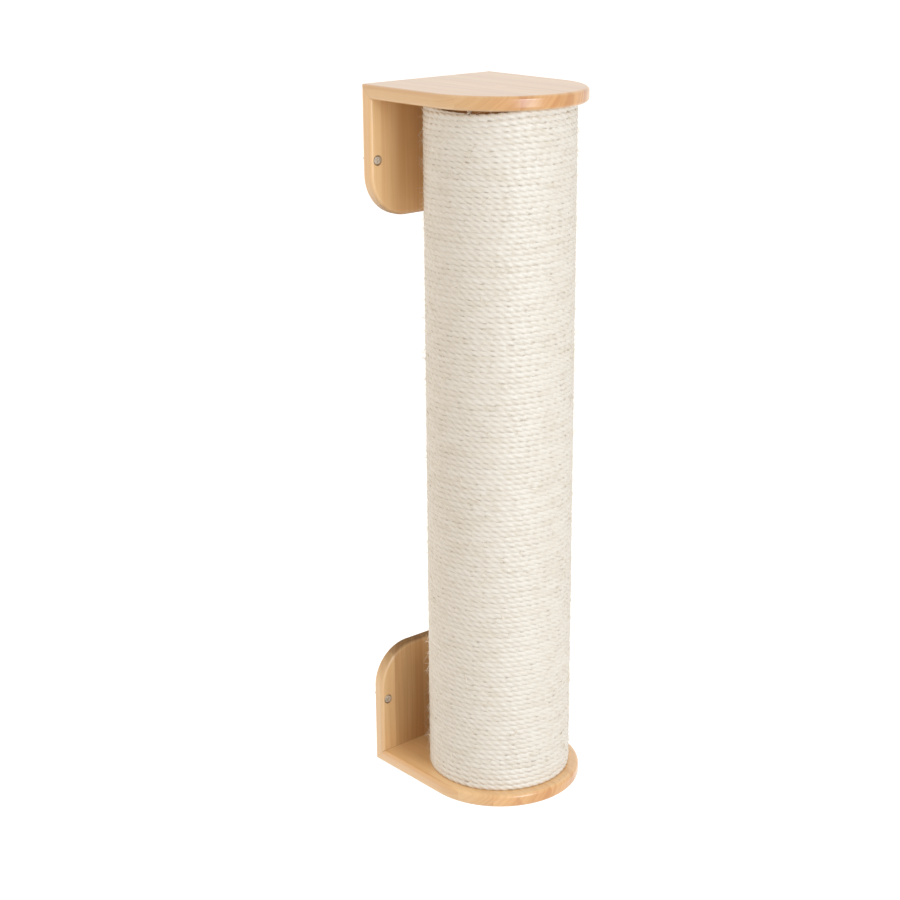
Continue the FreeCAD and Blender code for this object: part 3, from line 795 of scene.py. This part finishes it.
def fibreTree(name, brush):
    tree, sockets = newTree(name, {
        "Density": "Float", "Shortest": "Float", "Longest": "Float", "Sway": "Float",
        "Least Lift": "Float", "Most Lift": "Float", "Largest Turn": "Float", "Hair Radius": "Float",
        "Seed": "Int", "Material": "Material",
    })
    points = addNode(tree, "GeometryNodeDistributePointsOnFaces",
                     {"Mesh": sockets["Geometry"], "Density": sockets["Density"], "Seed": sockets["Seed"]})

    def chance(low, high, shift):
        seed = calc(tree, "ADD", sockets["Seed"], float(shift))
        inputs = {2: low, 3: high, "Seed": seed}
        return addNode(tree, "FunctionNodeRandomValue", inputs, data_type="FLOAT").outputs[1]

    def eitherWay(most, shift):
        return chance(calc(tree, "MULTIPLY", most, -1.0), most, shift)

    def facingTo(vector, **settings):
        return addNode(tree, "FunctionNodeAlignRotationToVector", {"Vector": vector}, **settings)

    outward = points.outputs["Normal"]
    if brush:
        facing = facingTo(outward, axis="X")
        spin = combine(tree, chance(0.0, fullTurn, 1), 0.0, 0.0)
    else:
        alongRope = vectorCalc(tree, "CROSS_PRODUCT", (0.0, 0.0, 1.0), outward)
        facing = facingTo(alongRope, axis="X", pivot_axis="Z")
        tree.links.new(facingTo(outward, axis="Z").outputs[0], facing.inputs["Rotation"])
        backwards = calc(tree, "MULTIPLY", calc(tree, "ROUND", chance(0.0, 1.0, 2)), math.pi)
        turn = eitherWay(sockets["Largest Turn"], 1)
        spin = combine(tree, 0.0, 0.0, calc(tree, "ADD", turn, backwards))
    spinRotation = addNode(tree, "FunctionNodeEulerToRotation", {0: spin}).outputs[0]
    rotation = addNode(tree, "FunctionNodeRotateRotation", {
        "Rotation": facing.outputs[0], "Rotate By": spinRotation,
    }, rotation_space="LOCAL").outputs[0]
    size = combine(tree, chance(sockets["Shortest"], sockets["Longest"], 3), eitherWay(sockets["Sway"], 4),
                   chance(sockets["Least Lift"], sockets["Most Lift"], 5))
    hair = addNode(tree, "GeometryNodeCurveQuadraticBezier", {
        "Resolution": 4, "Start": (0.0, 0.0, -0.1), "Middle": (0.55, 0.1, 0.1), "End": (1.0, 1.0, 1.0),
    })
    hairs = addNode(tree, "GeometryNodeInstanceOnPoints", {
        "Points": points.outputs["Points"], "Instance": hair.outputs[0], "Rotation": rotation, "Scale": size,
    })
    laid = addNode(tree, "GeometryNodeRealizeInstances", {"Geometry": hairs.outputs[0]}).outputs[0]
    section = addNode(tree, "GeometryNodeCurvePrimitiveCircle",
                      {"Resolution": 3, "Radius": sockets["Hair Radius"]}).outputs[0]
    factor = addNode(tree, "GeometryNodeSplineParameter").outputs["Factor"]
    taper = calc(tree, "MULTIPLY_ADD", factor, fibreFacts["tipShare"] - 1.0, 1.0)
    closeTree(tree, sweepProfile(tree, laid, section, taper), sockets["Material"])
    return tree


def hairSleeve():
    radius = ropePathRadius + ropeHalfDepth * fibreFacts["rootShare"]
    low = -ropeTop + fibreFacts["lowMargin"]
    high = ropeTop - fibreFacts["highMargin"]
    shape = bmesh.new()
    bmesh.ops.create_cone(shape, cap_ends=False, segments=fibreFacts["sleeveSides"], radius1=radius,
                          radius2=radius, depth=high - low,
                          matrix=Matrix.Translation((postX, postY, (low + high) / 2)))
    return meshFrom(shape, "hairSleeve")


def cutFace(angle, height, direction):
    across = Vector((math.cos(angle), math.sin(angle), 0.0))
    tangent = Vector((-math.sin(angle), math.cos(angle), ropeSlope / ropePathRadius)) * direction
    centre = Vector((postX, postY, height)) + across * ropePathRadius
    place = Matrix.Translation(centre) @ tangent.to_track_quat("Z", "Y").to_matrix().to_4x4()
    shape = bmesh.new()
    bmesh.ops.create_circle(shape, cap_ends=True, segments=fibreFacts["cutSides"],
                            radius=ropeFacts["radius"] * fibreFacts["cutShare"], matrix=place)
    return meshFrom(shape, "cutFace")


def growFibres(name, kind, tree, carrier):
    piece = growPiece(name, tree, {
        **fibreFacts[kind], "Sway": fibreFacts["sway"], "Largest Turn": fibreFacts["largestTurn"],
        "Material": looseSisal,
    }, carrier)
    finishPiece(piece, "sisal_rope")


looseTree = fibreTree("looseFibres", brush=False)
brushTree = fibreTree("cutEndBrush", brush=True)
growFibres("rope_loose_fibres", "hairs", looseTree, hairSleeve())
growFibres("rope_fibre_bundles", "bundles", looseTree, hairSleeve())
growFibres("rope_upper_brush", "brush", brushTree, cutFace(ropeHighAngle, ropeTop, 1))
growFibres("rope_lower_brush", "brush", brushTree, cutFace(ropeLowAngle, -ropeTop, -1))


# Wall screws: a countersunk head with a cross slot, a smooth neck, and a wood thread behind the board
screwFacts = {
    "headRadius": screwHeadRadius,
    "headBevel": 0.15 * mm,
    "rim": 0.4 * mm,
    "neckRadius": 1.7 * mm,
    "neckRunOut": 0.5 * mm,
    "rootRadius": 1.5 * mm,
    "crestRadius": 2.25 * mm,
    "threadPitch": 2.2 * mm,
    "threadWidth": 0.9 * mm,
    "threadSink": 0.1,            # as a share of the thread's height
    "threadSteps": 14,
    "tip": 4 * mm,
    "slotWidth": 1.1 * mm,
    "slotSpan": 4.4 * mm,
    "slotDepth": 1.7 * mm,
    "sides": 32,
}


def screwBody(face, reach):
    facts = screwFacts
    head, neck, root = (facts[key] for key in ("headRadius", "neckRadius", "rootRadius"))
    outline = [
        (0.0, face), (head - facts["headBevel"], face), (head, face + facts["headBevel"]),
        (head, face + facts["rim"]), (neck, face + facts["rim"] + head - neck), (neck, 0.0),
        (root, facts["neckRunOut"]), (root, reach - facts["tip"]), (0.0, reach),
    ]
    shape = bmesh.new()
    corners = [shape.verts.new((radius, y, 0.0)) for radius, y in outline]
    edges = [shape.edges.new(pair) for pair in zip(corners, corners[1:])]
    bmesh.ops.spin(shape, geom=corners + edges, cent=(0, 0, 0), axis=(0, 1, 0), dvec=(0, 0, 0),
                   angle=fullTurn, steps=facts["sides"], use_duplicate=False)
    bmesh.ops.remove_doubles(shape, verts=shape.verts, dist=0.001 * mm)
    bmesh.ops.recalc_face_normals(shape, faces=shape.faces)
    return meshFrom(shape, "screwBody")


def slotCutter(face):
    width, span = screwFacts["slotWidth"], screwFacts["slotSpan"]
    depth = 2 * screwFacts["slotDepth"]
    shape = bmesh.new()
    for size in ((span, depth, width, 1), (width, depth, span, 1)):
        place = Matrix.Translation((0, face, 0)) @ Matrix.Diagonal(size)
        bmesh.ops.create_cube(shape, size=1.0, matrix=place)
    return meshFrom(shape, "slotCutter")


def slottedScrew(face, reach):
    body = newObject("slottedScrew", screwBody(face, reach))
    cutter = newObject("slotCutter", slotCutter(face))
    cut = body.modifiers.new("slots", "BOOLEAN")
    cut.operation = "DIFFERENCE"
    cut.solver = "EXACT"
    cut.use_self = True
    cut.object = cutter
    depsgraph = bpy.context.evaluated_depsgraph_get()
    mesh = bpy.data.meshes.new_from_object(body.evaluated_get(depsgraph), depsgraph=depsgraph)
    for item in (body, cutter):
        bpy.data.objects.remove(item)
    return mesh


def screwTree():
    tree, sockets = newTree("wallScrews", {
        "Half Spacing": "Float", "Height": "Float", "Reach": "Float", "Tip": "Float",
        "Thread Pitch": "Float", "Root Radius": "Float", "Crest Radius": "Float", "Thread Width": "Float",
        "Steps Per Turn": "Int", "Material": "Material",
    })
    turns = calc(tree, "DIVIDE", sockets["Reach"], sockets["Thread Pitch"])
    path, factor = straightPath(tree, calc(tree, "MULTIPLY", turns, sockets["Steps Per Turn"]))
    y = calc(tree, "MULTIPLY", factor, sockets["Reach"])
    fromTip = calc(tree, "DIVIDE", calc(tree, "SUBTRACT", sockets["Reach"], y), sockets["Tip"])
    taper = calc(tree, "MINIMUM", fromTip, 1.0)
    turnsRun = calc(tree, "DIVIDE", y, sockets["Thread Pitch"])
    fullness = calc(tree, "MULTIPLY", taper, calc(tree, "MINIMUM", turnsRun, 1.0))
    path = keepValue(tree, path, "fullness", fullness)
    angle = calc(tree, "MULTIPLY", turnsRun, -fullTurn)
    x, z = polar(tree, calc(tree, "MULTIPLY", sockets["Root Radius"], taper), angle)
    path = setPlace(tree, path, combine(tree, x, y, z))
    outward = vectorCalc(tree, "MULTIPLY", pointPlace(tree), (1.0, 0.0, 1.0))
    path = addNode(tree, "GeometryNodeSetCurveNormal", {
        "Curve": path, "Normal": vectorCalc(tree, "NORMALIZE", outward),
    }, mode="FREE").outputs[0]

    # The ridge is a triangle: its first corner is the crest, and the other two lie in the shank.
    height = calc(tree, "SUBTRACT", sockets["Crest Radius"], sockets["Root Radius"])
    half = calc(tree, "MULTIPLY", sockets["Thread Width"], 0.5)
    corners = addNode(tree, "GeometryNodeCurvePrimitiveCircle", {"Resolution": 3}).outputs["Curve"]
    index = addNode(tree, "GeometryNodeInputIndex").outputs[0]
    isCrest = calc(tree, "COMPARE", index, 0.0, 0.1)
    side = calc(tree, "MULTIPLY", calc(tree, "MULTIPLY_ADD", index, 2.0, -3.0), half)
    sunk = calc(tree, "MULTIPLY", height, -screwFacts["threadSink"])
    crest = calc(tree, "MULTIPLY", height, 1.0 + screwFacts["threadSink"])
    profileX = calc(tree, "MULTIPLY_ADD", isCrest, crest, sunk)
    profileY = calc(tree, "MULTIPLY", side, calc(tree, "SUBTRACT", 1.0, isCrest))
    ridge = setPlace(tree, corners, combine(tree, profileX, profileY, 0.0))
    thread = sweepProfile(tree, path, ridge, keptValue(tree, "fullness"))
    screw = addNode(tree, "GeometryNodeJoinGeometry")
    tree.links.new(thread, screw.inputs[0])
    tree.links.new(sockets["Geometry"], screw.inputs[0])
    leftSide = calc(tree, "MULTIPLY", sockets["Half Spacing"], -1.0)
    places = addNode(tree, "GeometryNodeMeshLine", {
        "Start Location": combine(tree, leftSide, 0.0, sockets["Height"]),
        "Offset": combine(tree, sockets["Half Spacing"], 0.0, sockets["Height"]), "Count": 2,
    }, mode="END_POINTS")
    screws = addNode(tree, "GeometryNodeInstanceOnPoints",
                     {"Points": places.outputs[0], "Instance": screw.outputs[0]})
    closeTree(tree, screws.outputs[0], sockets["Material"])
    return tree


screwGrowth = screwTree()
for endName in ("upper", "lower"):
    screwLow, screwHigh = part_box(endName + "_wall_screws")
    screws = growPiece(endName + "_threaded_screws", screwGrowth, {
        "Half Spacing": screwHigh.x - screwFacts["headRadius"], "Height": (screwLow.z + screwHigh.z) / 2,
        "Reach": screwHigh.y, "Tip": screwFacts["tip"], "Thread Pitch": screwFacts["threadPitch"],
        "Root Radius": screwFacts["rootRadius"], "Crest Radius": screwFacts["crestRadius"],
        "Thread Width": screwFacts["threadWidth"], "Steps Per Turn": screwFacts["threadSteps"],
        "Material": screwZinc,
    }, slottedScrew(screwLow.y, screwHigh.y))
    finishPiece(screws, "zinc_screws", endName + "_wall_screws")


# Stage: a white floor below the post, soft light and the photograph's view
stageFacts = {
    "floorDrop": 0.35,
    "floorSize": 40.0,
    "floorColour": (0.65, 0.65, 0.65, 1),
    "floorGlow": 0.62,
    "ambient": 0.855,
    "ambientColour": (1.0, 0.92, 0.825),
    "keyLight": {"power": 33.0, "size": 1.0, "distance": 2.6, "azimuth": -97.0, "height": 14.0,
                 "colour": (0.77, 0.885, 1.0), "glossy": True},
    "fillLight": {"power": 15.0, "size": 0.6, "distance": 2.2, "azimuth": -250.0, "height": 8.0,
                  "colour": (0.96, 0.95, 0.92), "glossy": False},
}
cameraFacts = {
    "eye": (-1.2398, -1.4870, 0.5981),
    "yaw": 40.43,
    "pitch": 17.97,
    "roll": -0.42,
    "lens": 71.02,
    "sensor": 36.0,
}


def seenDirectly(tree):
    path = addNode(tree, "ShaderNodeLightPath").outputs
    seen = calc(tree, "MAXIMUM", path["Is Camera Ray"], path["Is Glossy Ray"])
    return calc(tree, "MAXIMUM", seen, path["Is Transmission Ray"])


def addFloor():
    material = bpy.data.materials.new("whiteFloor")
    material.use_nodes = True
    tree = material.node_tree
    tree.nodes.clear()
    paper = addNode(tree, "ShaderNodeBsdfDiffuse", {"Color": stageFacts["floorColour"]})
    strength = calc(tree, "MULTIPLY", seenDirectly(tree), stageFacts["floorGlow"])
    glow = addNode(tree, "ShaderNodeEmission", {"Strength": strength})
    both = addNode(tree, "ShaderNodeAddShader", {0: paper.outputs[0], 1: glow.outputs[0]})
    addNode(tree, "ShaderNodeOutputMaterial", {"Surface": both.outputs[0]})
    half = stageFacts["floorSize"] / 2
    level = cadLow.z - stageFacts["floorDrop"]
    corners = [(x * half, y * half, level) for x, y in ((-1, -1), (1, -1), (1, 1), (-1, 1))]
    mesh = bpy.data.meshes.new("floor")
    mesh.from_pydata(corners, [], [(0, 1, 2, 3)])
    mesh.materials.append(material)
    floor = newObject("floor", mesh)


def addWorld():
    world = bpy.data.worlds.new("whiteStudio")
    world.use_nodes = True
    tree = world.node_tree
    background = tree.nodes["Background"]
    seen = seenDirectly(tree)
    level = calc(tree, "MULTIPLY_ADD", seen, 1 - stageFacts["ambient"], stageFacts["ambient"])
    colour = mixColours(tree, seen, stageFacts["ambientColour"], (1.0, 1.0, 1.0))
    tree.links.new(colour, background.inputs["Color"])
    tree.links.new(level, background.inputs["Strength"])
    bpy.context.scene.world = world


def addLight(name):
    facts = stageFacts[name]
    lamp = bpy.data.lights.new(name, "AREA")
    lamp.energy = facts["power"]
    lamp.size = facts["size"]
    lamp.color = facts["colour"]
    azimuth = math.radians(facts["azimuth"])
    height = math.radians(facts["height"])
    level = math.cos(height)
    towards = Vector((math.cos(azimuth) * level, math.sin(azimuth) * level, math.sin(height)))
    lampObject = newObject(name, lamp)
    lampObject.location = Vector((postX, postY, 0)) + towards * facts["distance"]
    lampObject.rotation_mode = "QUATERNION"
    lampObject.rotation_quaternion = (-towards).to_track_quat("-Z", "Y")
    lampObject.visible_glossy = facts["glossy"]


def addCamera():
    camera = bpy.data.cameras.new("photoView")
    camera.lens = cameraFacts["lens"]
    camera.sensor_width = cameraFacts["sensor"]
    cameraObject = newObject("photoView", camera)
    cameraObject.location = cameraFacts["eye"]
    yaw, pitch, roll = (math.radians(cameraFacts[key]) for key in ("yaw", "pitch", "roll"))
    upright = Matrix.Rotation(-yaw, 4, "Z") @ Matrix.Rotation(math.pi / 2 - pitch, 4, "X")
    cameraObject.rotation_euler = (upright @ Matrix.Rotation(roll, 4, "Z")).to_euler()
    bpy.context.scene.camera = cameraObject


addFloor()
addWorld()
addLight("keyLight")
addLight("fillLight")
addCamera()
bpy.context.scene.view_settings.view_transform = "Standard"
print("stage set")
